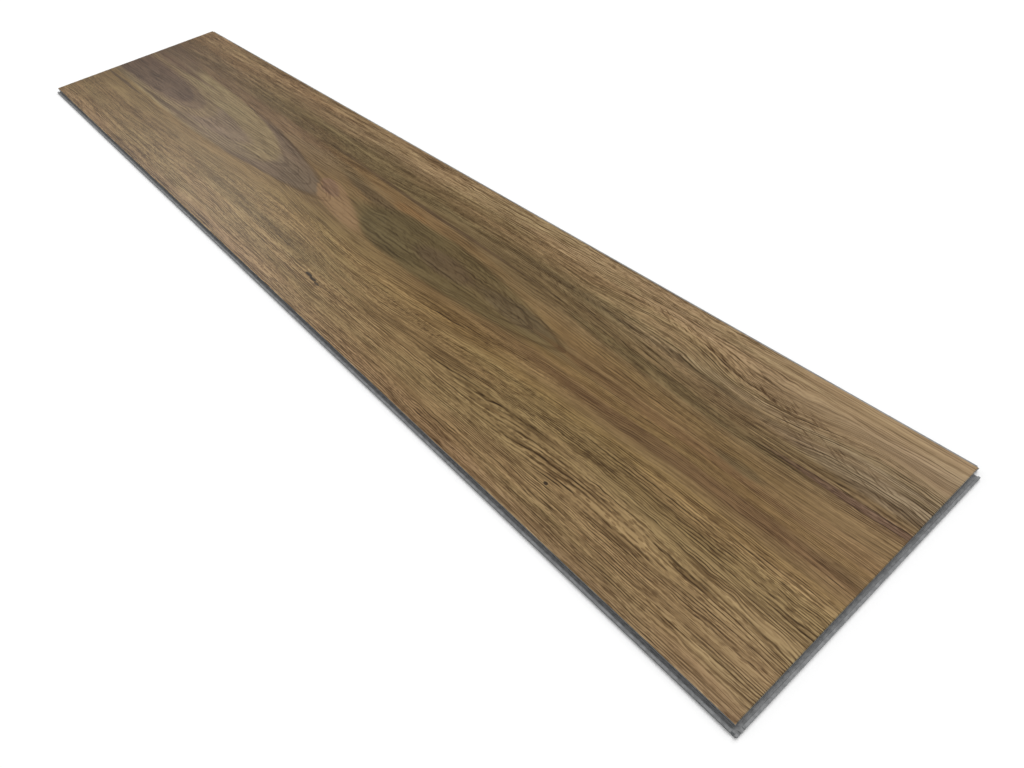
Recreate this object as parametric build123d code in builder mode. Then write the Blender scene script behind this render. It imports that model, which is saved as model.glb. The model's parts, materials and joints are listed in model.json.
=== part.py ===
"""A click-lock vinyl floor plank: a printed wear layer laminated on a rigid grey core.

+X runs along the plank towards the end with the lip, +Y across it towards the long tongue, and +Z up.
The origin is in the underside, below the middle of the printed face. All sizes are in millimetres.
"""
from build123d import *
import os

# The printed face and the two layers
face_length = 914.4
face_width = 184.15
core_thickness = 3.6
wear_layer_thickness = 0.4
face_bevel_width = 0.45
face_bevel_depth = 0.3

# The long joint: a lip along the -Y edge and a tongue along the +Y edge
long_lip_reach = 2.9
long_channel_width = 1.3
long_slot_depth = 2.2

# The end joint: a lip across the +X end and a tongue across the -X end, milled a little higher up
end_lip_reach = 3.2
end_channel_width = 1.7
end_slot_depth = 1.1
end_joint_lift = 0.1

# The section of the long joint, with heights measured up from the underside
slot_roof = 2.5
slot_floor = 1.35
channel_floor = 0.95
ridge_height = 1.6
entry_slope_run = 0.35
ridge_flank_run = 0.25
slot_corner_radius = 0.25
channel_corner_radius = 0.12
ridge_shoulder_radius = 0.35
tongue_nose_radius = 0.4
underside_chamfer = 0.2
lip_corner_radius = 1.2

# What a seated tongue leaves free all round, and how far the cutters and the blank run past the plank
joint_clearance = 0.05
milling_allowance = 1.0

top_height = core_thickness + wear_layer_thickness
half_length = face_length / 2
half_width = face_width / 2
cutter_top = top_height + milling_allowance
cutter_bottom = -milling_allowance
ridge_foot_radius = channel_corner_radius / 2
long_recess = long_lip_reach + joint_clearance
end_recess = end_lip_reach + joint_clearance

# The centre of the rounding where the two lips meet
lip_corner_x = half_length + end_lip_reach - lip_corner_radius
lip_corner_y = lip_corner_radius - half_width - long_lip_reach

# The blank is the pressed board that the four edges are milled from
blank_overhang = max(long_lip_reach, long_slot_depth, end_lip_reach, end_slot_depth) + milling_allowance
blank_length = face_length + 2 * blank_overhang
blank_width = face_width + 2 * blank_overhang
cutter_outside = blank_overhang + milling_allowance


def edge_plane(outward: tuple[float, float, float], distance: float) -> Plane:
    """The section plane of one edge: its x runs outward from the joint line, and its y runs up."""
    direction = Vector(outward)
    return Plane(origin=direction * distance, x_dir=direction, z_dir=direction.cross(Vector(0, 0, 1)))


def lip_cutter(edge: Plane, reach: float, channel: float, depth: float, lift: float) -> Sketch:
    """What is milled off an edge to leave its slot, its channel and its locking ridge."""
    roof = slot_roof + lift
    floor = slot_floor + lift
    channel_bottom = channel_floor + lift
    ridge_top = ridge_height + lift
    with BuildSketch(edge) as outline:
        with BuildLine():
            FilletPolyline(
                (0, cutter_top),
                (0, roof),
                (-depth, roof),
                (-depth, floor),
                (0, floor),
                (entry_slope_run, channel_bottom),
                (channel, channel_bottom),
                (channel + ridge_flank_run, ridge_top),
                (reach, ridge_top),
                (reach, underside_chamfer),
                (reach - underside_chamfer, 0),
                (reach - underside_chamfer, cutter_bottom),
                (cutter_outside, cutter_bottom),
                (cutter_outside, cutter_top),
                radius=[
                    0,
                    0,
                    slot_corner_radius,
                    slot_corner_radius,
                    0,
                    channel_corner_radius,
                    channel_corner_radius,
                    ridge_foot_radius,
                    ridge_shoulder_radius,
                    0,
                    0,
                    0,
                    0,
                    0,
                ],
                close=True,
            )
        make_face()
    return outline.sketch


def tongue_cutter(edge: Plane, recess: float, channel: float, depth: float, lift: float) -> Sketch:
    """What is milled off the opposite edge, to leave a tongue and heel that seat in such a lip."""
    tongue_reach = depth - joint_clearance
    tongue_top = slot_roof + lift - joint_clearance
    tongue_bottom = slot_floor + lift + joint_clearance
    heel_bottom = channel_floor + lift + joint_clearance
    heel_back = joint_clearance - channel
    recess_roof = ridge_height + lift + joint_clearance
    with BuildSketch(edge) as outline:
        with BuildLine():
            FilletPolyline(
                (0, cutter_top),
                (0, tongue_top),
                (tongue_reach, tongue_top),
                (tongue_reach, tongue_bottom),
                (0, tongue_bottom),
                (-entry_slope_run, heel_bottom),
                (heel_back, heel_bottom),
                (heel_back - ridge_flank_run, recess_roof),
                (-recess, recess_roof),
                (-recess, underside_chamfer),
                (-recess - underside_chamfer, 0),
                (-recess - underside_chamfer, cutter_bottom),
                (cutter_outside, cutter_bottom),
                (cutter_outside, cutter_top),
                radius=[
                    0,
                    0,
                    tongue_nose_radius,
                    tongue_nose_radius,
                    0,
                    channel_corner_radius,
                    channel_corner_radius,
                    ridge_foot_radius,
                    channel_corner_radius,
                    0,
                    0,
                    0,
                    0,
                    0,
                ],
                close=True,
            )
        make_face()
    return outline.sketch


long_lip_edge = edge_plane((0, -1, 0), half_width)
long_tongue_edge = edge_plane((0, 1, 0), half_width)
end_lip_edge = edge_plane((1, 0, 0), half_length)
end_tongue_edge = edge_plane((-1, 0, 0), half_length)

# The core: both long edges are milled first, then both ends across them
with BuildPart() as core:
    with BuildSketch():
        Rectangle(blank_length, blank_width)
    extrude(amount=core_thickness)
    long_lip = lip_cutter(long_lip_edge, long_lip_reach, long_channel_width, long_slot_depth, 0)
    extrude(long_lip, amount=blank_length, both=True, mode=Mode.SUBTRACT)
    long_tongue = tongue_cutter(long_tongue_edge, long_recess, long_channel_width, long_slot_depth, 0)
    extrude(long_tongue, amount=blank_length, both=True, mode=Mode.SUBTRACT)
    end_lip = lip_cutter(
        end_lip_edge, end_lip_reach, end_channel_width, end_slot_depth, end_joint_lift
    )
    extrude(end_lip, amount=blank_width, both=True, mode=Mode.SUBTRACT)
    end_tongue = tongue_cutter(
        end_tongue_edge, end_recess, end_channel_width, end_slot_depth, end_joint_lift
    )
    extrude(end_tongue, amount=blank_width, both=True, mode=Mode.SUBTRACT)
    # Each lip is cut off square where the other edge's recess crosses it
    with BuildSketch():
        with Locations((end_recess - half_length, -half_width)):
            Rectangle(end_recess + blank_overhang, blank_overhang, align=(Align.MAX, Align.MAX))
        with Locations((half_length, half_width - long_recess)):
            Rectangle(blank_overhang, long_recess + blank_overhang, align=(Align.MIN, Align.MIN))
    extrude(amount=core_thickness, mode=Mode.SUBTRACT)
    # The corner where the two lips meet is rounded
    with BuildSketch():
        with Locations((lip_corner_x, lip_corner_y)):
            Rectangle(lip_corner_radius, lip_corner_radius, align=(Align.MIN, Align.MAX))
            Circle(lip_corner_radius, mode=Mode.SUBTRACT)
    extrude(amount=core_thickness, mode=Mode.SUBTRACT)

# The face layer: the printed film and its clear wear layer, bevelled all round along the top
with BuildPart() as face_layer:
    with BuildSketch(Plane.XY.offset(core_thickness)):
        Rectangle(face_length, face_width)
    extrude(amount=wear_layer_thickness)
    face_top = face_layer.faces().sort_by(Axis.Z)[-1]
    chamfer(face_top.edges(), length=face_bevel_depth, length2=face_bevel_width)

core.part.label = "core"
face_layer.part.label = "face_layer"

os.makedirs("parts", exist_ok=True)
export_step(core.part, "parts/core.step")
export_step(face_layer.part, "parts/face_layer.step")
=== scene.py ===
"""A click-lock vinyl floor plank on a pale studio floor: its printed wood face, its grey core, the light."""

import json
import logging
import math
from dataclasses import asdict, dataclass
from enum import Enum

import bpy
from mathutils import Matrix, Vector

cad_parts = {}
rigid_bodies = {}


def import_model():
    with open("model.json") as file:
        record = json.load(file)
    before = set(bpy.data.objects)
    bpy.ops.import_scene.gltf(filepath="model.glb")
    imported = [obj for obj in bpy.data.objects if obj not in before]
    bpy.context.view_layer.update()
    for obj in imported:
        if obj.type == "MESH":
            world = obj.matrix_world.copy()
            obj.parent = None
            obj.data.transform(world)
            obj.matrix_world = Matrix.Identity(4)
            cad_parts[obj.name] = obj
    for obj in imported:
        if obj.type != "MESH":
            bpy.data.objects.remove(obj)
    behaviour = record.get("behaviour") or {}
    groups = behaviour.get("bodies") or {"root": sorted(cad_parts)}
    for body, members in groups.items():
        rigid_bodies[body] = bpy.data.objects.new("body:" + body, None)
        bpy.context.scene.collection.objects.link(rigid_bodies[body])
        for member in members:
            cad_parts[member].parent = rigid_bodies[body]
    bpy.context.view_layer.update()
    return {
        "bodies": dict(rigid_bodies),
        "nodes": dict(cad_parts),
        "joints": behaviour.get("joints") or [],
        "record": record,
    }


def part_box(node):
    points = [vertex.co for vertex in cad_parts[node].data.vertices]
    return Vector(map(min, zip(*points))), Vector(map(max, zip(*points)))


LOG = logging.getLogger("plank")
Socket = bpy.types.NodeSocket
Value = Socket | float
Colour = tuple[float, float, float]

MILLIMETRES = 1000.0
OPEN_ENDED = 100000.0
PLAIN: Colour = (1.0, 1.0, 1.0)
DISPLAY_WHITE = 255.0


def srgb(red: float, green: float, blue: float) -> tuple[float, float, float, float]:
    """Turns a colour written as 0 to 255 display values into a linear one.

    Args:
        red: Red, 0 to 255.
        green: Green, 0 to 255.
        blue: Blue, 0 to 255.

    Returns:
        Linear red, green, blue and an alpha of 1.
    """
    linear = []
    for channel in (red, green, blue):
        share = channel / DISPLAY_WHITE
        linear.append(share / 12.92 if share <= 0.04045 else ((share + 0.055) / 1.055) ** 2.4)
    return (*linear, 1.0)


class Blend(Enum):
    """How one colour is laid over another."""

    COVER = "MIX"
    TINT = "MULTIPLY"


@dataclass(frozen=True)
class Wander:
    """A stretched noise that sways a line: its size along and across, its seed and its height."""

    length: float
    width: float
    seed: float
    height: float = 1.0
    detail: float = 1.0


@dataclass(frozen=True)
class Cover:
    """How strongly something is drawn: at its least, and how much more at its most."""

    least: float
    rise: float


class Graph:
    """Adds nodes to one node tree, and links or sets their inputs."""

    def __init__(self, tree: bpy.types.NodeTree) -> None:
        """Keeps the material's or the group's node tree."""
        self.tree = tree

    def feed(self, socket: Socket, value: object) -> None:
        """Links or sets an input.

        Args:
            socket: The input.
            value: A socket to link into it, or a plain value to set it to.
        """
        if isinstance(value, Socket):
            self.tree.links.new(value, socket)
        else:
            socket.default_value = value

    def node(self, kind: str, **settings: object) -> bpy.types.Node:
        """Adds a node.

        Args:
            kind: The node's type.
            settings: The node's own settings, by name.

        Returns:
            The new node.
        """
        made = self.tree.nodes.new(kind)
        for name, value in settings.items():
            setattr(made, name, value)
        return made

    def math(self, operation: str, *values: Value) -> Socket:
        """Adds a Math node.

        Args:
            operation: The node's operation, such as MULTIPLY.
            values: Its one to three inputs, as sockets or numbers.

        Returns:
            The result.
        """
        made = self.node("ShaderNodeMath", operation=operation)
        for socket, value in zip(made.inputs, values):
            self.feed(socket, value)
        return made.outputs[0]

    def stretched(self, along: Socket, across: Socket, length: Value, width: Value, seed: Value) -> Socket:
        """Gives the place in a pattern that is stretched along the plank.

        Args:
            along: The place along the plank, in millimetres.
            across: The place across it, in millimetres.
            length: The size of the pattern along the plank.
            width: The size of the pattern across it.
            seed: Which pattern it is.

        Returns:
            The place, as a vector.
        """
        made = self.node("ShaderNodeCombineXYZ")
        parts = (self.math("DIVIDE", along, length), self.math("DIVIDE", across, width), seed)
        for socket, value in zip(made.inputs, parts):
            self.feed(socket, value)
        return made.outputs[0]

    def noise(self, place: Socket, detail: float = 2.0, roughness: float = 0.5) -> Socket:
        """Adds a smooth noise of unit scale.

        Args:
            place: Where it is read.
            detail: How many finer layers it has.
            roughness: How strong each finer layer is.

        Returns:
            A value around 0.5.
        """
        made = self.node("ShaderNodeTexNoise", noise_dimensions="3D")
        self.feed(made.inputs["Vector"], place)
        made.inputs["Scale"].default_value = 1.0
        made.inputs["Detail"].default_value = detail
        made.inputs["Roughness"].default_value = roughness
        return made.outputs[0]

    def sway(self, along: Socket, across: Socket, wander: Wander) -> Socket:
        """Adds a stretched noise that swings either side of 0.

        Args:
            along: The place along the plank, in millimetres.
            across: The place across it, in millimetres.
            wander: The noise's size, seed and detail.

        Returns:
            A value around 0, within about a half.
        """
        place = self.stretched(along, across, wander.length, wander.width, wander.seed)
        return self.math("SUBTRACT", self.noise(place, wander.detail), 0.5)

    def moved(self, line: Socket, along: Socket, across: Socket, wander: Wander) -> Socket:
        """Moves a line by a stretched noise.

        Args:
            line: The line's place, in millimetres.
            along: The place along the plank where the noise is read.
            across: The place across it.
            wander: The noise, with its height.

        Returns:
            The moved line.
        """
        return self.math("MULTIPLY_ADD", self.sway(along, across, wander), wander.height, line)

    def ease(self, value: Value, low: Value, high: Value) -> Socket:
        """Rises smoothly from 0 to 1, or falls if high is the lower.

        Args:
            value: What is eased.
            low: Where the result is 0.
            high: Where the result is 1.

        Returns:
            The share, 0 to 1.
        """
        made = self.node("ShaderNodeMapRange", interpolation_type="SMOOTHSTEP", clamp=True)
        self.feed(made.inputs["Value"], value)
        self.feed(made.inputs["From Min"], low)
        self.feed(made.inputs["From Max"], high)
        return made.outputs[0]

    def covered(self, share: Value, cover: Cover) -> Socket:
        """Turns a share of 0 to 1 into a strength from the least to the most."""
        return self.math("MULTIPLY_ADD", share, cover.rise, cover.least)

    def mix(self, share: Value, first: object, second: object, blend: Blend = Blend.COVER) -> Socket:
        """Mixes two colours.

        Args:
            share: How much of the second colour shows, 0 to 1.
            first: The colour below.
            second: The colour above.
            blend: How the second is laid over the first.

        Returns:
            The mixed colour.
        """
        made = self.node("ShaderNodeMix", data_type="RGBA", blend_type=blend.value, clamp_factor=True)
        self.feed(made.inputs[0], share)
        self.feed(made.inputs[6], first)
        self.feed(made.inputs[7], second)
        return made.outputs[2]

    def tint(self, colour: Socket, gain: Colour) -> Socket:
        """Multiplies a colour by a gain."""
        return self.mix(1.0, colour, (*gain, 1.0), Blend.TINT)

    def group(self, tree: bpy.types.NodeTree, label: str = "", **values: Value) -> bpy.types.Node:
        """Places a node group.

        Args:
            tree: The group.
            label: What the node is labelled with.
            values: The group's inputs, by name.

        Returns:
            The group's node.
        """
        made = self.node("ShaderNodeGroup", node_tree=tree, label=label)
        for name, value in values.items():
            self.feed(made.inputs[name.replace("_", " ").capitalize()], value)
        return made


def new_group(name: str, inputs: tuple[str, ...], outputs: tuple[str, ...]) -> tuple[Graph, dict, dict]:
    """Starts a shader node group whose inputs and outputs are all values.

    Args:
        name: The group's name.
        inputs: The names of its inputs.
        outputs: The names of its outputs.

    Returns:
        The graph inside it, its inputs by name and its outputs by name.
    """
    tree = bpy.data.node_groups.new(name, "ShaderNodeTree")
    for label in inputs:
        tree.interface.new_socket(label, in_out="INPUT", socket_type="NodeSocketFloat")
    for label in outputs:
        tree.interface.new_socket(label, in_out="OUTPUT", socket_type="NodeSocketFloat")
    graph = Graph(tree)
    entry = graph.node("NodeGroupInput")
    leaving = graph.node("NodeGroupOutput")
    sources = {label: entry.outputs[label] for label in inputs}
    targets = {label: leaving.inputs[label] for label in outputs}
    return graph, sources, targets


@dataclass(frozen=True)
class PlankSize:
    """The printed face, in millimetres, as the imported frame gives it."""

    far_end: float
    front_edge: float
    length: float
    width: float
    top: float

    @classmethod
    def from_frame(cls) -> "PlankSize":
        """Reads the face layer's box.

        Returns:
            The face's size and place.
        """
        low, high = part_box("face_layer")
        low = low * MILLIMETRES
        high = high * MILLIMETRES
        return cls(low.x, low.y, high.x - low.x, high.y - low.y, high.z)


class GrainTools:
    """The node groups that the finishes share."""

    streak_detail: float = 1.5
    streak_roughness: float = 0.55
    stroke_force: Cover = Cover(0.4, 0.6)
    stroke_core: float = 0.6

    def __init__(self, size: PlankSize) -> None:
        """Builds each group once.

        Args:
            size: The printed face.
        """
        self.places = self.make_places(size)
        self.streaks = self.make_streaks()
        self.strokes = self.make_strokes()
        self.patch = self.make_patch()
        self.turned = self.make_turned()

    def make_places(self, size: PlankSize) -> bpy.types.NodeTree:
        """Gives each point's place: along from the far end, across from the front edge, and up.

        Args:
            size: The printed face.

        Returns:
            The group, whose places are in millimetres.
        """
        labels = ("Along", "Across", "Up")
        graph, _, targets = new_group("plank places", (), labels)
        texture = graph.node("ShaderNodeTexCoord")
        parts = graph.node("ShaderNodeSeparateXYZ")
        graph.feed(parts.inputs[0], texture.outputs["Object"])
        offsets = (-size.far_end, -size.front_edge, 0.0)
        for socket, offset, label in zip(parts.outputs, offsets, labels):
            graph.feed(targets[label], graph.math("MULTIPLY_ADD", socket, MILLIMETRES, offset))
        return graph.tree

    def make_streaks(self) -> bpy.types.NodeTree:
        """Draws soft streaks of a given length and width.

        Returns:
            The group, whose mask goes from 0 between the streaks to 1 on them.
        """
        names = ("Along", "Across", "Length", "Width", "Seed", "Low", "High")
        graph, sources, targets = new_group("streaks", names, ("Mask",))
        place = graph.stretched(*(sources[name] for name in names[:5]))
        cloud = graph.noise(place, self.streak_detail, self.streak_roughness)
        graph.feed(targets["Mask"], graph.ease(cloud, sources["Low"], sources["High"]))
        return graph.tree

    def make_strokes(self) -> bpy.types.NodeTree:
        """Draws separate strokes of a given length and width.

        Returns:
            The group, whose mask gives each stroke its own strength.
        """
        names = ("Along", "Across", "Length", "Width", "Seed", "Radius")
        graph, sources, targets = new_group("strokes", names, ("Mask",))
        cells = graph.node("ShaderNodeTexVoronoi", voronoi_dimensions="3D")
        graph.feed(cells.inputs["Vector"], graph.stretched(*(sources[name] for name in names[:5])))
        cells.inputs["Scale"].default_value = 1.0
        parts = graph.node("ShaderNodeSeparateColor")
        graph.feed(parts.inputs[0], cells.outputs["Color"])
        force = graph.covered(parts.outputs["Red"], self.stroke_force)
        core = graph.math("MULTIPLY", sources["Radius"], self.stroke_core)
        drawn = graph.ease(cells.outputs["Distance"], sources["Radius"], core)
        graph.feed(targets["Mask"], graph.math("MULTIPLY", drawn, force))
        return graph.tree

    def make_patch(self) -> bpy.types.NodeTree:
        """Draws a patch that is widest at its foot and narrows to its tips.

        Returns:
            The group, whose mask is 1 inside the patch and 0 outside.
        """
        places = ("Along", "Across", "Foot", "Reach", "Back", "Centre")
        forms = ("Half width", "Power", "Point", "Softness", "Tilt")
        graph, sources, targets = new_group("figure patch", places + forms, ("Mask",))
        past_foot = graph.math("SUBTRACT", sources["Along"], sources["Foot"])
        ahead = graph.math("MAXIMUM", graph.math("DIVIDE", past_foot, sources["Reach"]), 0.0)
        behind = graph.math("MINIMUM", graph.math("DIVIDE", past_foot, sources["Back"]), 0.0)
        run = graph.math("POWER", graph.math("SUBTRACT", ahead, behind), sources["Power"])
        middle = graph.math("MULTIPLY_ADD", past_foot, sources["Tilt"], sources["Centre"])
        aside = graph.math("ABSOLUTE", graph.math("SUBTRACT", sources["Across"], middle))
        side = graph.math("POWER", graph.math("DIVIDE", aside, sources["Half width"]), sources["Point"])
        edge = graph.math("ADD", run, side)
        outer = graph.math("ADD", 1.0, sources["Softness"])
        inner = graph.math("SUBTRACT", 1.0, sources["Softness"])
        graph.feed(targets["Mask"], graph.ease(edge, outer, inner))
        return graph.tree

    def make_turned(self) -> bpy.types.NodeTree:
        """Turns the grain's direction by a slope.

        Returns:
            The group, with the turned places along and across.
        """
        names = ("Along", "Across")
        graph, sources, targets = new_group("turned grain", (*names, "Slope"), names)
        slope = sources["Slope"]
        graph.feed(targets["Along"], graph.math("MULTIPLY_ADD", sources["Across"], slope, sources["Along"]))
        fall = graph.math("MULTIPLY", sources["Along"], slope)
        graph.feed(targets["Across"], graph.math("SUBTRACT", sources["Across"], fall))
        return graph.tree


class Edge(Enum):
    """How a coloured mark of the print ends."""

    FEATHERED = "feathered into the fibres"
    CLEAN = "clean"


@dataclass(frozen=True)
class Shape:
    """The outline of a patch: widest at its foot, with a tip ahead and one behind, in millimetres."""

    foot: float
    reach: float
    back: float
    centre: float
    half_width: float
    power: float = 1.5
    point: float = 2.0
    softness: float = 0.5
    tilt: float = 0.0


@dataclass(frozen=True)
class Mark:
    """A coloured mark of the figure, with its colour as display values."""

    name: str
    shape: Shape
    colour: Colour
    strength: float
    edge: Edge = Edge.FEATHERED


@dataclass(frozen=True)
class Tone:
    """A broad part of the face, with what it multiplies the colour by."""

    name: str
    shape: Shape
    gain: Colour


@dataclass(frozen=True)
class StreakLayer:
    """One layer of streaks along the fibres, with what it multiplies the colour by between and on them."""

    name: str
    length: float
    width: float
    seed: float
    low: float
    high: float
    between: Colour
    on: Colour


@dataclass(frozen=True)
class StrokeLayer:
    """One layer of separate short strokes, with what each multiplies the colour by."""

    name: str
    length: float
    width: float
    seed: float
    radius: float
    gain: Colour


@dataclass(frozen=True)
class CurlZone:
    """A patch of curly grain, where short strokes cross the fibres at a slope."""

    name: str
    shape: Shape
    slope: float
    length: float
    width: float
    seed: float
    strength: float


@dataclass(frozen=True)
class Calm:
    """A part with weaker grain, by the share of it that is dropped."""

    name: str
    shape: Shape
    share: float


@dataclass(frozen=True)
class Swell:
    """A part of the figure that the fibres spread round, by a share of their distance from its middle."""

    name: str
    shape: Shape
    share: float


@dataclass(frozen=True)
class Bend:
    """A part where the fibres rise by a height and fall back."""

    name: str
    shape: Shape
    height: float


ShapedPart = Mark | Tone | Calm | Swell | Bend | CurlZone


@dataclass(frozen=True)
class Arch:
    """Growth lines that run round a pointed tip, from behind it to ahead of it, in millimetres."""

    name: str
    centre: float
    tip: float
    tilt: float
    flare: float
    point: float
    behind: float
    ahead: float
    seed: float
    pitch: float = 10.0
    run: float = 130.0
    fade_behind: float = 0.3
    fade_ahead: float = 0.2


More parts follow.
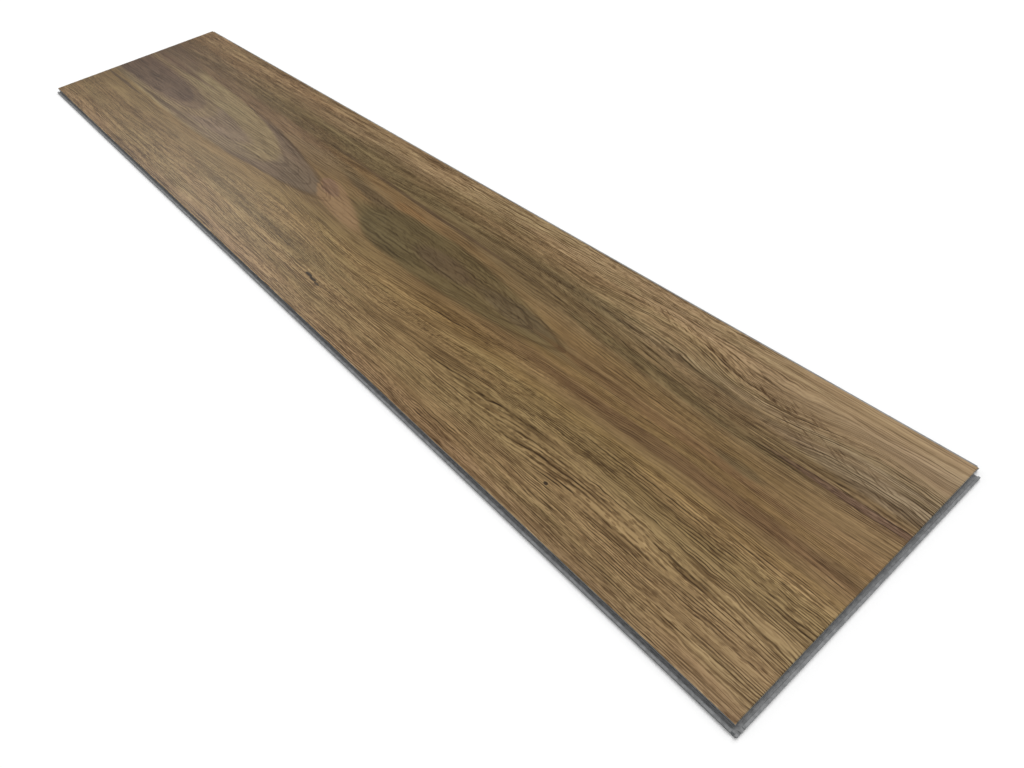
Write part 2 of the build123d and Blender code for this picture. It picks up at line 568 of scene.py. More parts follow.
@dataclass(frozen=True)
class WoodPrint:
    """The printed face: its long bands, its figure, its fibres and its satin wear layer."""

    roughness: float = 0.34
    relief_strength: float = 0.25
    relief_depth: float = 0.0001
    slow_wave: Wander = Wander(240.0, 70.0, 2.3, 6.0)
    quick_wave: Wander = Wander(60.0, 22.0, 5.9, 2.2)
    ragged_bands: Wander = Wander(180.0, 9.0, 7.1, 14.0, 3.0)
    ragged_along: Wander = Wander(50.0, 2.6, 11.7, 12.0, 3.0)
    ragged_across: Wander = Wander(70.0, 3.0, 13.9, 2.0, 2.0)
    bands: tuple[tuple[float, Colour], ...] = (
        (0.0, (141, 114, 82)),
        (14.0, (143, 118, 81)),
        (40.0, (134, 110, 73)),
        (66.0, (137, 112, 72)),
        (84.0, (127, 101, 65)),
        (98.0, (126, 100, 64)),
        (114.0, (131, 105, 69)),
        (128.0, (124, 101, 68)),
        (144.0, (128, 107, 75)),
        (160.0, (145, 120, 85)),
        (174.0, (158, 133, 98)),
        (184.0, (152, 127, 93)),
    )
    arches: tuple[Arch, ...] = (
        Arch("far arches", 88.0, 425.0, -0.03, 0.765, 1.6, 130.0, 60.0, 83.7),
        Arch("heartwood tip", 99.0, 695.0, 0.0, 0.8, 1.6, 70.0, 45.0, 87.1),
    )
    arch_gain: Colour = (0.6, 0.54, 0.5)
    arch_share: float = 0.65
    arch_detail: float = 2.0
    arch_fade: tuple[float, float] = (0.04, 0.12)
    swells: tuple[Swell, ...] = (
        Swell("round the arches", Shape(0, 470, OPEN_ENDED, 92, 58, 2.0, 2.0, 0.9), 0.5),
        Swell("round the heartwood", Shape(560, 190, 150, 100, 48, 2.0, 2.0, 0.9), 0.45),
    )
    bends: tuple[Bend, ...] = (
        Bend("lower sweep", Shape(800, 160, 200, 66, 30, 1.5, 2.0, 0.9), 8.0),
        Bend("upper dip", Shape(735, 45, 50, 156, 14, 1.5, 2.0, 0.9), 5.0),
        Bend("upper rise", Shape(815, 45, 45, 155, 14, 1.5, 2.0, 0.9), -4.5),
        Bend("upper end dip", Shape(885, 40, 45, 148, 16, 1.5, 2.0, 0.9), 5.0),
        Bend("front dip", Shape(560, 150, 150, 30, 18, 1.5, 2.0, 0.9), -3.0),
    )
    ring_pitch: float = 1.3
    ring_drift: Wander = Wander(150.0, 12.0, 33.3, 7.0)
    ring_shake: Wander = Wander(14.0, 5.0, 35.9, 1.3)
    ring_breaks: Wander = Wander(45.0, 3.0, 37.7, detail=2.0)
    ring_break_fade: tuple[float, float] = (-0.16, 0.14)
    ring_side: tuple[float, float] = (0.05, -0.85)
    ring_cover: Cover = Cover(0.4, 0.6)
    ring_between: Colour = (0.32, 0.27, 0.21)
    ring_on: Colour = (1.11, 1.12, 1.13)
    tones: tuple[Tone, ...] = (
        Tone("near upper corner", Shape(914, 100, 120, 165, 60, 2.0, 2.0, 0.6), (1.05, 1.05, 1.06)),
        Tone("under the near upper edge", Shape(914, 110, 120, 160, 14, 1.5, 2.0, 0.6), (0.84, 0.85, 0.88)),
        # Painted sheen: lightens and cools the lower middle, where the wear layer mirrors the light.
        Tone("sheen over the lower middle", Shape(430, 160, 160, 38, 22, 1.5, 2.0, 0.7), (1.13, 1.15, 1.17)),
        Tone("before the heartwood", Shape(475, 110, 100, 88, 22, 1.5, 2.0, 0.6), (0.94, 0.95, 0.95)),
        Tone("over the arrow", Shape(355, 70, 70, 114, 11, 1.5, 2.0, 0.6), (0.92, 0.94, 0.95)),
        Tone("over the heartwood", Shape(625, 90, 90, 129, 10, 1.5, 2.0, 0.6), (0.92, 0.93, 0.93)),
        Tone("far upper band", Shape(330, 170, 160, 162, 10, 1.5, 2.0, 0.6), (0.86, 0.87, 0.9)),
        Tone("far end of the upper bands", Shape(0, 130, 130, 148, 26, 1.5, 2.0, 0.6), (0.86, 0.86, 0.85)),
        # Painted sheen: lightens and cools the end nearest the camera, where the wear layer mirrors the
        # light.
        Tone("sheen at the near end", Shape(914, 40, 40, 92, 140, 1.0, 2.0, 0.9), (1.12, 1.13, 1.22)),
        Tone("far upper edge", Shape(0, 420, 420, 184, 26, 2.0, 2.0, 0.5), (0.88, 0.84, 0.82)),
        Tone("far lower end", Shape(0, 70, 70, 66, 10, 1.5, 2.0, 0.6), (0.88, 0.88, 0.9)),
        Tone("far end", Shape(0, 34, 34, 92, 140, 1.0, 2.0, 0.9), (0.93, 0.91, 0.9)),
    )
    marks: tuple[Mark, ...] = (
        Mark(
            "far brown field", Shape(60, 330, OPEN_ENDED, 128, 30, 2.0, 2.0, 0.4, -0.02), (130, 104, 80), 0.5
        ),
        Mark("dark far band", Shape(430, 290, 320, 144, 12), (113, 95, 63), 0.6),
        Mark("arrow outline", Shape(290, 141, OPEN_ENDED, 92, 28, 1.0, 1.6, 0.06, -0.03), (99, 80, 60), 0.6),
        Mark("arrow", Shape(290, 135, OPEN_ENDED, 91.5, 26, 1.0, 1.6, 0.06, -0.03), (118, 98, 77), 0.85),
        Mark("arrow inside", Shape(230, 130, OPEN_ENDED, 88, 24, 1.5, 2.0, 0.3), (131, 112, 89), 0.7),
        Mark("pale arch", Shape(100, 244, OPEN_ENDED, 95, 33, 2.5, 2.0, 0.08, -0.03), (143, 124, 88), 0.85),
        Mark("far brown limb", Shape(0, 108, OPEN_ENDED, 122, 17, 2.0, 2.0, 0.4), (106, 84, 64), 0.8),
        Mark("lower limb", Shape(210, 130, 120, 72, 9, 1.5, 2.0, 0.4, 0.02), (130, 111, 88), 0.6),
        Mark("mauve arch", Shape(150, 146, OPEN_ENDED, 86, 15, 2.2, 2.0, 0.2), (128, 107, 86), 0.85),
        Mark("halo", Shape(60, 155, OPEN_ENDED, 88, 23, 2.6, 2.0, 0.12), (134, 113, 82), 0.85),
        Mark("brown shell", Shape(40, 149, OPEN_ENDED, 88, 19, 2.6, 2.0, 0.1), (115, 93, 71), 0.85),
        Mark("dark heart", Shape(20, 143, OPEN_ENDED, 87.5, 16.5, 2.8, 2.0, 0.1), (101, 80, 63), 0.9),
        Mark("line over the halo", Shape(80, 90, 80, 116, 2.6), (106, 82, 62), 0.7),
        Mark("line under the heart", Shape(150, 100, 90, 66.5, 1.7, 1.5, 2.0, 0.6, 0.02), (98, 77, 55), 0.8),
        Mark("lower line", Shape(45, 60, 50, 57.5, 1.6), (90, 70, 51), 0.8),
        Mark("flame", Shape(428, 66, 22, 95, 10.5, 1.5, 2.0, 0.25, -0.2), (144, 113, 79), 0.95),
        Mark("flame root", Shape(420, 20, 13, 98.5, 6, 1.5, 2.0, 0.3, -0.2), (132, 101, 79), 0.7),
        Mark("olive upper band", Shape(600, 110, 170, 156, 12), (114, 92, 60), 0.45),
        Mark("orange band", Shape(520, 110, 150, 126, 5, 1.5, 2.0, 0.5, -0.04), (129, 101, 65), 0.75),
        Mark("orange knot", Shape(505, 22, 22, 122, 4.5), (132, 99, 60), 0.6),
        Mark("line over orange", Shape(500, 150, 130, 133.5, 1.6, 1.5, 2.0, 0.6, -0.02), (89, 68, 48), 0.75),
        Mark("heartwood tail", Shape(470, 60, 60, 114.5, 5.0, 1.5, 2.0, 0.5, -0.08), (101, 84, 58), 0.75),
        Mark("olive heartwood", Shape(565, 142, 105, 100, 21, 1.35, 1.8, 0.22, -0.01), (105, 89, 57), 0.85),
        Mark("heartwood root", Shape(522, 60, 44, 100, 20, 2.0, 2.0, 0.22), (103, 87, 56), 0.8),
        Mark("olive core", Shape(580, 34, 34, 100, 9), (95, 76, 54), 0.7),
        Mark("grey tail", Shape(660, 30, 40, 102, 8), (101, 85, 61), 0.6),
        Mark("olive line", Shape(770, 100, 90, 123.5, 4.5, 1.5, 2.0, 0.5, -0.01), (109, 90, 58), 0.75),
        Mark("red-brown end streak", Shape(890, 60, 50, 124.5, 2.2), (106, 82, 64), 0.8),
        Mark("mauve corner", Shape(890, 60, 60, 139, 7), (122, 103, 81), 0.5),
        Mark("pale upper line", Shape(850, 80, 110, 148, 2.8, 1.5, 2.0, 0.5, 0.03), (152, 131, 99), 0.6),
        Mark("dark upper line", Shape(730, 110, 120, 142.5, 1.8, 1.5, 2.0, 0.5, -0.02), (96, 78, 53), 0.6),
        Mark("olive spot", Shape(833, 15, 15, 103, 4.6), (92, 78, 51), 0.55),
        Mark("golden middle", Shape(750, 120, 80, 110, 6, 1.5, 2.0, 0.5, -0.01), (125, 99, 60), 0.6),
        Mark("brown line", Shape(765, 110, 80, 98.5, 3.4, 1.5, 2.0, 0.5, -0.01), (112, 84, 52), 0.75),
        Mark("upper golden line", Shape(790, 150, 110, 91.5, 3.8, 1.5, 2.0, 0.5, 0.01), (134, 107, 65), 0.7),
        Mark("brown run", Shape(800, 130, 110, 83.5, 4.6, 1.5, 2.0, 0.5, 0.01), (108, 81, 51), 0.8),
        Mark("golden line", Shape(790, 150, 190, 70, 3.6, 1.5, 2.0, 0.5, 0.025), (134, 108, 66), 0.75),
        Mark("brown patch", Shape(640, 50, 50, 72, 5.0), (121, 96, 58), 0.6),
        Mark("pinhole", Shape(772, 1.4, 1.6, 25.2, 1.0, 2.0, 2.0, 0.3), (40, 28, 20), 0.95, Edge.CLEAN),
        Mark("first dash", Shape(514.5, 4.4, 4.2, 27.4, 1.1, 2.0, 2.0, 0.3), (44, 34, 25), 0.95, Edge.CLEAN),
        Mark("second dash", Shape(521.5, 4.8, 4.0, 26.6, 1.0, 2.0, 2.0, 0.3), (46, 36, 26), 0.9, Edge.CLEAN),
        Mark("third dash", Shape(529.0, 3.4, 3.4, 25.4, 0.9, 2.0, 2.0, 0.3), (50, 40, 30), 0.85, Edge.CLEAN),
    )
    streaks: tuple[StreakLayer, ...] = (
        StreakLayer(
            "red and olive clouds", 110, 14, 71.3, 0.38, 0.62, (0.985, 1.005, 0.98), (1.02, 0.995, 0.99)
        ),
        StreakLayer("bands", 420, 13, 3.1, 0.38, 0.62, (0.93, 0.92, 0.9), (1.06, 1.07, 1.07)),
        StreakLayer("ribbons", 190, 4.2, 15.3, 0.38, 0.62, (0.92, 0.91, 0.89), (1.07, 1.075, 1.075)),
        StreakLayer("fibres", 70, 1.9, 27.3, 0.34, 0.54, (0.8, 0.77, 0.73), (1.09, 1.1, 1.11)),
        StreakLayer("fine fibres", 40, 0.85, 21.9, 0.36, 0.48, (0.58, 0.53, 0.46), (1.08, 1.09, 1.1)),
    )
    streak_cover: Cover = Cover(0.45, 0.55)
    relief: StreakLayer = StreakLayer("pressed fibres", 40, 0.9, 21.9, 0.36, 0.5, PLAIN, PLAIN)
    ripple_zones: StreakLayer = StreakLayer("rippled ribbons", 220, 14, 66.1, 0.5, 0.62, PLAIN, PLAIN)
    ripple_wave: Wander = Wander(13.0, 8.0, 19.3)
    ripple_cover: Cover = Cover(0.5, 2.0)
    stroke_crowds: Wander = Wander(130.0, 15.0, 52.3)
    stroke_crowd_fade: tuple[float, float] = (-0.2, 0.1)
    stroke_cover: Cover = Cover(0.4, 0.35)
    strokes: tuple[StrokeLayer, ...] = (
        StrokeLayer("long dark strokes", 34, 1.0, 3.5, 0.36, (0.45, 0.37, 0.29)),
        StrokeLayer("dark strokes", 14, 0.85, 9.5, 0.42, (0.3, 0.22, 0.15)),
        StrokeLayer("pores", 5, 0.75, 17.5, 0.46, (0.34, 0.26, 0.18)),
        StrokeLayer("light strokes", 30, 0.9, 27.5, 0.34, (1.35, 1.37, 1.42)),
    )
    calms: tuple[Calm, ...] = (
        Calm("in the arches", Shape(300, 140, OPEN_ENDED, 90, 32, 1.5, 2.0, 0.5), 0.7),
        Calm("in the flame", Shape(440, 56, 50, 94, 13, 1.5, 2.0, 0.4, -0.1), 0.8),
        Calm("in the flame and the heartwood", Shape(550, 180, 170, 101, 24, 1.5, 2.0, 0.5), 0.75),
        Calm("in the golden middle", Shape(800, 160, 130, 91, 29, 1.5, 2.0, 0.4), 0.3),
        Calm("on the golden line", Shape(790, 160, 180, 69.5, 6, 1.5, 2.0, 0.4), 0.4),
        Calm("at the near upper corner", Shape(914, 110, 120, 176, 22, 1.5, 2.0, 0.5), 0.75),
    )
    curls: tuple[CurlZone, ...] = (
        CurlZone("upper curl", Shape(775, 80, 80, 160, 7, 2.0, 2.0, 0.5, -0.1), -0.4, 11, 1.3, 61.0, 1.0),
        CurlZone("end curl", Shape(868, 46, 50, 142, 7, 2.0, 2.0, 0.5, -0.12), -0.36, 11, 1.3, 62.0, 0.9),
        CurlZone("small upper curl", Shape(665, 36, 36, 141, 6), -0.4, 8, 1.2, 63.0, 0.8),
        CurlZone("heartwood curl", Shape(590, 95, 95, 103, 15), -0.25, 10, 1.4, 64.0, 0.6),
        CurlZone("lash row", Shape(615, 78, 78, 53.5, 3.8), 0.8, 5, 1.5, 65.0, 1.0),
        CurlZone("lower curl", Shape(745, 62, 62, 57, 9), 0.3, 9, 1.5, 66.0, 0.8),
        CurlZone("lower end curl", Shape(870, 52, 52, 58, 8), -0.22, 9, 1.4, 67.0, 0.8),
        CurlZone("middle curl", Shape(475, 30, 30, 112, 6), -0.3, 8, 1.4, 68.0, 0.7),
    )
    curl_radius: float = 0.42
    curl_gain: Colour = (0.45, 0.37, 0.29)
    bevel_depth: float = 0.02
    bevel_reach: float = 1.0
    film_side: float = 0.29
    # Painted light on the bevels: a highlight on the front one, shade on the back one and on the ends' ones.
    front_bevel: Colour = (1.8, 1.95, 2.1)
    back_bevel: Colour = (0.92, 0.94, 0.97)
    end_bevel: Colour = (0.85, 0.95, 1.1)
    # The film's side: its own dark edge together with painted shade under the bevel.
    film_side_colour: Colour = (52, 44, 36)


@dataclass(frozen=True)
class CoreFinish:
    """The milled grey core: mineral-filled vinyl with fine cutter marks, pale specks, and a painted contact
    shadow that darkens the foot of the front lip.
    """

    colour: Colour = (143, 144, 145)
    shade: Colour = (122, 123, 124)
    speck: Colour = (164, 165, 164)
    cloud_scale: tuple[float, float, float] = (400.0, 400.0, 1500.0)
    cloud_detail: float = 3.0
    cloud_fade: tuple[float, float] = (0.35, 0.65)
    speck_scale: tuple[float, float, float] = (2500.0, 2500.0, 2500.0)
    speck_detail: float = 2.0
    speck_fade: tuple[float, float] = (0.62, 0.72)
    speck_share: float = 0.5
    # Painted contact shadow: the lowest part of the front lip's outer face is multiplied by this gain,
    # fading in over the height below it.
    foot_gain: Colour = (0.45, 0.47, 0.48)
    foot_height: float = 1.3
    foot_full_share: float = 0.8
    foot_edge: float = -2.0
    roughness: float = 0.45


class Finish(Graph):
    """The material of one solid, and the graph that its looks are added to."""

    def __init__(self, name: str, roughness: float, tools: GrainTools) -> None:
        """Starts the material.

        Args:
            name: The material's name.
            roughness: How rough the surface is.
            tools: The shared node groups.
        """
        self.material = bpy.data.materials.new(name)
        self.material.use_nodes = True
        super().__init__(self.material.node_tree)
        self.shader = self.tree.nodes["Principled BSDF"]
        self.shader.inputs["Roughness"].default_value = roughness
        self.tools = tools
        places = self.group(tools.places).outputs
        self.along, self.across, self.up = places["Along"], places["Across"], places["Up"]


class FaceFinish(Finish):
    """Builds the printed face's material."""

    def __init__(self, wood: WoodPrint, tools: GrainTools, size: PlankSize) -> None:
        """Starts the material.

        Args:
            wood: The bands, marks and streaks to draw.
            tools: The shared node groups.
            size: The printed face.
        """
        super().__init__("printed wood face", wood.roughness, tools)
        self.wood = wood
        self.size = size

    def build(self) -> bpy.types.Material:
        """Draws the wood and its pressed relief.

        Returns:
            The finished material.
        """
        fibre = self.fibre_line()
        colour = self.figure(self.long_bands(fibre), fibre)
        colour = self.tones(self.growth_lines(colour, fibre), fibre)
        line = self.ripple(self.flow(fibre))
        left = self.grain_left(line)
        colour = self.fibres(colour, line, left)
        colour = self.rings(colour, line, left)
        colour = self.strokes(colour, line, left)
        colour = self.bevels(self.curls(colour))
        self.feed(self.shader.inputs["Base Color"], colour)
        bump = self.node("ShaderNodeBump")
        bump.inputs["Strength"].default_value = self.wood.relief_strength
        bump.inputs["Distance"].default_value = self.wood.relief_depth
        self.feed(bump.inputs["Height"], self.streak_mask(self.wood.relief, fibre))
        self.feed(self.shader.inputs["Normal"], bump.outputs[0])
        return self.material

    def patch(self, part: ShapedPart, along: Socket, across: Socket) -> Socket:
        """Places the patch of one part of the face.

        Args:
            part: The part, with its shape and its name.
            along: The place along the plank.
            across: The place across it.

        Returns:
            The mask, 1 inside the patch.
        """
        values = asdict(part.shape)
        return self.group(self.tools.patch, part.name, along=along, across=across, **values).outputs[0]

    def layer_mask(
        self,
        tree: bpy.types.NodeTree,
        layer: StreakLayer | StrokeLayer | CurlZone,
        along: Socket,
        across: Socket,
        **values: float,
    ) -> Socket:
        """Places one layer of streaks or strokes.

        Args:
            tree: The group that draws it.
            layer: The layer.
            along: The place along it.
            across: The place across it.
            values: The group's other inputs, by name.

        Returns:
            The mask, up to 1 on the layer's streaks or strokes.
        """
        sizes = {"length": layer.length, "width": layer.width, "seed": layer.seed}
        return self.group(tree, layer.name, along=along, across=across, **sizes, **values).outputs[0]

    def streak_mask(self, layer: StreakLayer, line: Socket) -> Socket:
        """Places one layer of streaks along the fibres, and gives its mask."""
        limits = {"low": layer.low, "high": layer.high}
        return self.layer_mask(self.tools.streaks, layer, self.along, line, **limits)

    def fibre_line(self) -> Socket:
        """Bends the straight line across the face into the fibres' slow waves."""
        line = self.moved(self.across, self.along, self.across, self.wood.slow_wave)
        return self.moved(line, self.along, self.across, self.wood.quick_wave)

    def long_bands(self, fibre: Socket) -> Socket:
        """Colours the long bands that run from end to end.

        Args:
            fibre: The place across the fibres.

        Returns:
            The colour of the bands.
        """
        place = self.moved(fibre, self.along, fibre, self.wood.ragged_bands)
        ramp = self.node("ShaderNodeValToRGB")
        ramp.color_ramp.interpolation = "EASE"
        stops = ramp.color_ramp.elements
        first, last = self.wood.bands[0], self.wood.bands[-1]
        stops[0].position = first[0] / self.size.width
        stops[0].color = srgb(*first[1])
        stops[1].position = min(last[0] / self.size.width, 1.0)
        stops[1].color = srgb(*last[1])
        for place_mm, tone in self.wood.bands[1:-1]:
            stops.new(place_mm / self.size.width).color = srgb(*tone)
        self.feed(ramp.inputs[0], self.math("DIVIDE", place, self.size.width))
        return ramp.outputs["Color"]

    def figure(self, colour: Socket, fibre: Socket) -> Socket:
        """Lays the arches and the patches of the figure over the bands.

        Args:
            colour: The colour so far.
            fibre: The place across the fibres.

        Returns:
            The new colour.
        """
        ragged_along = self.moved(self.along, self.along, fibre, self.wood.ragged_along)
        ragged_across = self.moved(fibre, self.along, fibre, self.wood.ragged_across)
        for mark in self.wood.marks:
            if mark.edge is Edge.FEATHERED:
                patch = self.patch(mark, ragged_along, ragged_across)
            else:
                patch = self.patch(mark, self.along, self.across)
            colour = self.mix(self.math("MULTIPLY", patch, mark.strength), colour, srgb(*mark.colour))
        return colour

    def growth_lines(self, colour: Socket, fibre: Socket) -> Socket:
        """Draws the thin dark growth lines that run round the pointed tips of the figure.

        Args:
            colour: The colour so far.
            fibre: The place across the fibres.

        Returns:
            The new colour.
        """
        for arch in self.wood.arches:
            past_tip = self.math("SUBTRACT", self.along, arch.tip)
            axis = self.math("MULTIPLY_ADD", past_tip, arch.tilt, arch.centre)
            aside = self.math("ABSOLUTE", self.math("SUBTRACT", fibre, axis))
            flare = self.math("MULTIPLY", self.math("POWER", aside, arch.point), arch.flare)
            line = self.math("ADD", self.along, flare)
            lines = Wander(arch.pitch, arch.run, arch.seed, detail=self.wood.arch_detail)
            drawn = self.ease(self.sway(line, self.along, lines), *self.wood.arch_fade)
            outside = self.ease(line, arch.tip - arch.behind, arch.tip - arch.fade_behind * arch.behind)
            inside = self.ease(line, arch.tip + arch.ahead, arch.tip + arch.fade_ahead * arch.ahead)
            share = self.math("MULTIPLY", self.math("MULTIPLY", outside, inside), drawn)
            share = self.math("MULTIPLY", share, self.wood.arch_share)
            colour = self.mix(share, colour, self.tint(colour, self.wood.arch_gain))
            LOG.info("drew the growth lines of the %s", arch.name)
        return colour

    def tones(self, colour: Socket, fibre: Socket) -> Socket:
        """Lightens or darkens the broad parts of the face; two of these tones are painted sheen.

        Args:
            colour: The colour so far.
            fibre: The place across the fibres.

        Returns:
            The new colour.
        """
        for tone in self.wood.tones:
            patch = self.patch(tone, self.along, fibre)
            colour = self.mix(patch, colour, self.tint(colour, tone.gain))
        return colour

    def flow(self, fibre: Socket) -> Socket:
        """Leads the fibres round the figure.

        Args:
            fibre: The place across the fibres.

        Returns:
            The place across the bent fibres.
        """
        line = fibre
        for swell in self.wood.swells:
            share = self.math("MULTIPLY", self.patch(swell, self.along, fibre), swell.share)
            aside = self.math("SUBTRACT", line, swell.shape.centre)
            line = self.math("SUBTRACT", line, self.math("MULTIPLY", aside, share))
        for bend in self.wood.bends:
            line = self.math("MULTIPLY_ADD", self.patch(bend, self.along, fibre), -bend.height, line)
        return line

    def ripple(self, line: Socket) -> Socket:
        """Ripples the fibres, more where the grain is curly.

        Args:
            line: The place across the fibres.

        Returns:
            The place across the rippled fibres.
        """
        height = self.covered(self.streak_mask(self.wood.ripple_zones, line), self.wood.ripple_cover)
        return self.math("MULTIPLY_ADD", self.sway(self.along, line, self.wood.ripple_wave), height, line)

    def grain_left(self, line: Socket) -> Socket:
        """Gives how much of the grain is left in the calm parts.

        Args:
            line: The place across the fibres.

        Returns:
            The share that is left: 1 in plain wood, less in the calm parts.
        """
        left: Value = 1.0
        for calm in self.wood.calms:
            dropped = self.math("MULTIPLY", self.patch(calm, self.along, line), calm.share)
            left = self.math("MULTIPLY", left, self.math("SUBTRACT", 1.0, dropped))
        return left

    def fibres(self, colour: Socket, line: Socket, left: Socket) -> Socket:
        """Draws the layers of streaks, weaker in the calm parts.

        Args:
            colour: The colour so far.
            line: The place across the fibres.
            left: How much of the grain is left.

        Returns:
            The new colour.
        """
        share = self.covered(left, self.wood.streak_cover)
        for layer in self.wood.streaks:
            gain = self.mix(self.streak_mask(layer, line), (*layer.between, 1.0), (*layer.on, 1.0))
            colour = self.mix(share, colour, gain, Blend.TINT)
        return colour

    def rings(self, colour: Socket, line: Socket, left: Socket) -> Socket:
        """Draws the fine dark lines, side by side, that the growth rings leave.

        Args:
            colour: The colour so far.
            line: The place across the fibres.
            left: How much of the grain is left.

        Returns:
            The new colour.
        """
        place = self.moved(line, self.along, line, self.wood.ring_drift)
        place = self.moved(place, self.along, line, self.wood.ring_shake)
        wave = self.math("SINE", self.math("MULTIPLY", place, 2 * math.pi / self.wood.ring_pitch))
        drawn = self.ease(wave, *self.wood.ring_side)
        strength = self.ease(self.sway(self.along, line, self.wood.ring_breaks), *self.wood.ring_break_fade)
        drawn = self.math("MULTIPLY", drawn, strength)
        gain = self.mix(drawn, (*self.wood.ring_on, 1.0), (*self.wood.ring_between, 1.0))
        return self.mix(self.covered(left, self.wood.ring_cover), colour, gain, Blend.TINT)

    def strokes(self, colour: Socket, line: Socket, left: Socket) -> Socket:
        """Draws the separate strokes and pores, weaker in the calm parts.

        Args:
            colour: The colour so far.
            line: The place across the fibres.
            left: How much of the grain is left.

        Returns:
            The new colour.
        """
        crowd = self.ease(self.sway(self.along, line, self.wood.stroke_crowds), *self.wood.stroke_crowd_fade)
        cover = self.math("MULTIPLY", self.covered(crowd, self.wood.stroke_cover), left)
        for layer in self.wood.strokes:
            mask = self.layer_mask(self.tools.strokes, layer, self.along, line, radius=layer.radius)
            colour = self.mix(self.math("MULTIPLY", mask, cover), colour, self.tint(colour, layer.gain))
        return colour

    def curls(self, colour: Socket) -> Socket:
        """Draws the short slanted strokes of the curly grain.

        Args:
            colour: The colour so far.

        Returns:
            The new colour.
        """
        for zone in self.wood.curls:
            turned = self.group(
                self.tools.turned, zone.name, along=self.along, across=self.across, slope=zone.slope
            )
            mask = self.layer_mask(
                self.tools.strokes, zone, turned.outputs[0], turned.outputs[1], radius=self.wood.curl_radius
            )
            share = self.math("MULTIPLY", self.patch(zone, self.along, self.across), zone.strength)
            darker = self.tint(colour, self.wood.curl_gain)
            colour = self.mix(self.math("MULTIPLY", mask, share), colour, darker)
        return colour

    def bevels(self, colour: Socket) -> Socket:
        """Paints a highlight on the front bevel and shade on the back bevel and the ends' bevels, and
        darkens the film's side, partly its own dark edge and partly painted shade.

        Args:
            colour: The colour so far.

        Returns:
            The new colour.
        """
        depth = self.math("SUBTRACT", self.size.top, self.up)
        on_bevel = self.ease(depth, self.wood.bevel_depth, 2 * self.wood.bevel_depth)
        front = self.math("LESS_THAN", self.across, self.wood.bevel_reach)
        back = self.math("GREATER_THAN", self.across, self.size.width - self.wood.bevel_reach)
        # Painted highlight on the front bevel, painted shade on the back and end bevels.
        gain = self.mix(front, (*self.wood.end_bevel, 1.0), (*self.wood.front_bevel, 1.0))
        gain = self.mix(back, gain, (*self.wood.back_bevel, 1.0))
        colour = self.mix(on_bevel, colour, self.mix(1.0, colour, gain, Blend.TINT))
        # The film's side: its dark edge and painted shade under the bevel.
        on_side = self.math("GREATER_THAN", depth, self.wood.film_side)
        return self.mix(on_side, colour, srgb(*self.wood.film_side_colour))


class MilledCore(Finish):
    """Builds the core's material."""

    def __init__(self, core: CoreFinish, tools: GrainTools) -> None:
        """Starts the material."""
        super().__init__("milled grey core", core.roughness, tools)
        self.core = core

    def build(self) -> bpy.types.Material:
        """Draws the clouds, the specks and the painted contact shadow along the foot of the front lip.

        Returns:
            The finished material.
        """
        core = self.core
        cloud = self.noise(self.scaled(core.cloud_scale), core.cloud_detail)
        colour = self.mix(self.ease(cloud, *core.cloud_fade), srgb(*core.shade), srgb(*core.colour))
        specks = self.ease(self.noise(self.scaled(core.speck_scale), core.speck_detail), *core.speck_fade)
        colour = self.mix(self.math("MULTIPLY", specks, core.speck_share), colour, srgb(*core.speck))
        # Painted contact shadow: darkens the front lip's outer face towards the floor.
        foot = self.ease(self.up, core.foot_height, core.foot_full_share * core.foot_height)
        foot = self.math("MULTIPLY", foot, self.math("LESS_THAN", self.across, core.foot_edge))
        colour = self.mix(foot, colour, self.tint(colour, core.foot_gain))
        self.feed(self.shader.inputs["Base Color"], colour)
        return self.material

    def scaled(self, scale: tuple[float, float, float]) -> Socket:
        """Gives the place in a pattern of a given scale.

        Args:
            scale: How many times the pattern repeats in a metre, along each axis.

        Returns:
            The place, as a vector.
        """
        texture = self.node("ShaderNodeTexCoord")
        mapping = self.node("ShaderNodeMapping")
        self.feed(mapping.inputs["Vector"], texture.outputs["Object"])
        mapping.inputs["Scale"].default_value = scale
        return mapping.outputs[0]


@dataclass(frozen=True)
class Plank:
    """The plank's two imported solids, dressed with their finishes."""

    face: WoodPrint = WoodPrint()
    core: CoreFinish = CoreFinish()

    def dress(self, frame: dict) -> None:
        """Gives each solid its material.

        Args:
            frame: The loaded frame.
        """
        size = PlankSize.from_frame()
        tools = GrainTools(size)
        self.assign(frame, "face_layer", FaceFinish(self.face, tools, size).build())
        self.assign(frame, "core", MilledCore(self.core, tools).build())

    def assign(self, frame: dict, node: str, material: bpy.types.Material) -> None:
        """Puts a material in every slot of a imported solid.

        Args:
            frame: The loaded frame.
            node: The solid's name.
            material: The material.
        """
        for slot in frame["nodes"][node].material_slots:
            slot.material = material
        LOG.info("dressed %s with %s", node, material.name)


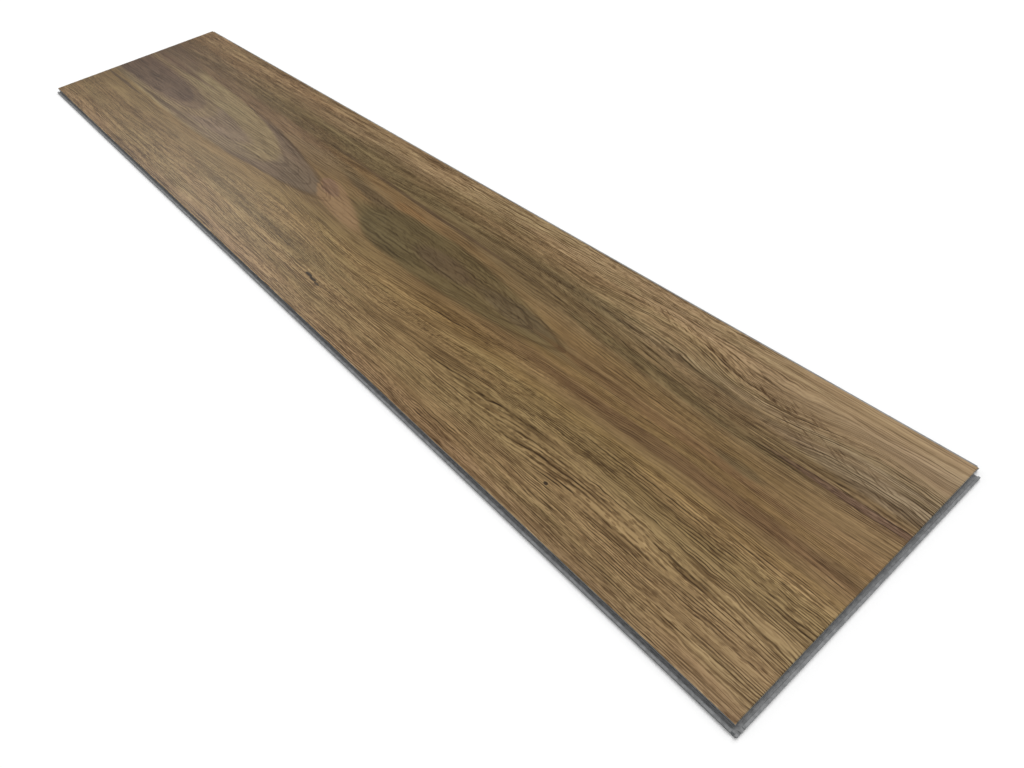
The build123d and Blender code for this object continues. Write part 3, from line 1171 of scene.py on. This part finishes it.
@dataclass(frozen=True)
class Studio:
    """The pale floor, the soft light and the camera."""

    camera_place: tuple[float, float, float] = (0.51339, -0.21112, 0.32797)
    camera_turn: tuple[float, float, float] = (44.384, 6.058, 50.097)
    lens: float = 27.28
    sensor: float = 36.0
    nearest_seen: float = 0.01
    floor_reach: float = 6.0
    floor_drop: float = 0.00005
    floor_lift: float = 0.05
    floor_colour: tuple[float, float, float, float] = (0.95, 0.95, 0.95, 1.0)
    floor_roughness: float = 0.9
    sun_toward: tuple[float, float, float] = (-0.35, 1.0, 1.25)
    sun_strength: float = 1.91
    sun_spread: float = 50.0
    air_strength: float = 0.55
    air_camera_gain: float = 0.45
    air_mirrored_loss: float = 0.45
    white: tuple[float, float, float, float] = (1.0, 1.0, 1.0, 1.0)
    softbox_place: tuple[float, float, float] = (-1.42, 0.15, 0.86)
    softbox_size: float = 0.5
    softbox_watts: float = 1.35

    def build(self) -> None:
        """Makes the whole setting."""
        self.add_floor()
        self.add_light()
        self.add_world()
        self.add_camera()
        LOG.info("set the studio")

    def add_floor(self) -> None:
        """Lays the floor just under the plank."""
        bpy.ops.object.select_all(action="DESELECT")
        bpy.ops.mesh.primitive_plane_add(size=2 * self.floor_reach, location=(0.0, 0.0, -self.floor_drop))
        floor = bpy.context.object
        floor.name = "studio_floor"
        material = bpy.data.materials.new("pale floor")
        material.use_nodes = True
        shader = material.node_tree.nodes["Principled BSDF"]
        shader.inputs["Base Color"].default_value = self.floor_colour
        shader.inputs["Roughness"].default_value = self.floor_roughness
        shader.inputs["Specular IOR Level"].default_value = 0.0
        graph = Graph(material.node_tree)
        path = graph.node("ShaderNodeLightPath")
        shader.inputs["Emission Color"].default_value = self.white
        lift = graph.math("MULTIPLY", path.outputs["Is Camera Ray"], self.floor_lift)
        graph.feed(shader.inputs["Emission Strength"], lift)
        floor.data.materials.append(material)

    def add_light(self) -> None:
        """Hangs the soft main light, and the low softbox that the wear layer mirrors."""
        data = bpy.data.lights.new("main light", "SUN")
        data.energy = self.sun_strength
        data.angle = math.radians(self.sun_spread)
        lamp = bpy.data.objects.new("main_light", data)
        bpy.context.collection.objects.link(lamp)
        lamp.rotation_euler = Vector(self.sun_toward).to_track_quat("Z", "Y").to_euler()
        lamp.visible_glossy = False
        box = bpy.data.lights.new("softbox", "AREA")
        box.shape = "SQUARE"
        box.size = self.softbox_size
        box.energy = self.softbox_watts
        softbox = bpy.data.objects.new("softbox", box)
        bpy.context.collection.objects.link(softbox)
        softbox.location = self.softbox_place
        softbox.rotation_euler = softbox.location.to_track_quat("Z", "Y").to_euler()

    def add_world(self) -> None:
        """Sets the even light from all round, white to the camera and dim to what mirrors it."""
        world = bpy.data.worlds.new("studio air")
        bpy.context.scene.world = world
        world.use_nodes = True
        tree = world.node_tree
        graph = Graph(tree)
        background = tree.nodes["Background"]
        background.inputs["Color"].default_value = self.white
        path = graph.node("ShaderNodeLightPath")
        mirrored = path.outputs["Is Glossy Ray"]
        dim = graph.math("MULTIPLY_ADD", mirrored, -self.air_mirrored_loss, self.air_strength)
        strength = graph.math("MULTIPLY_ADD", path.outputs["Is Camera Ray"], self.air_camera_gain, dim)
        graph.feed(background.inputs["Strength"], strength)

    def add_camera(self) -> None:
        """Stands the camera where the view was taken from."""
        data = bpy.data.cameras.new("camera")
        data.sensor_width = self.sensor
        data.lens = self.lens
        data.clip_start = self.nearest_seen
        camera = bpy.data.objects.new("camera", data)
        camera.location = self.camera_place
        camera.rotation_euler = tuple(math.radians(turn) for turn in self.camera_turn)
        bpy.context.collection.objects.link(camera)
        bpy.context.scene.camera = camera


def main() -> None:
    """Loads the frame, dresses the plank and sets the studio."""
    logging.basicConfig(level=logging.INFO, format="%(message)s")
    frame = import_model()
    Plank().dress(frame)
    Studio().build()
    bpy.context.scene.view_settings.view_transform = "Standard"


if __name__ == "__main__":
    main()
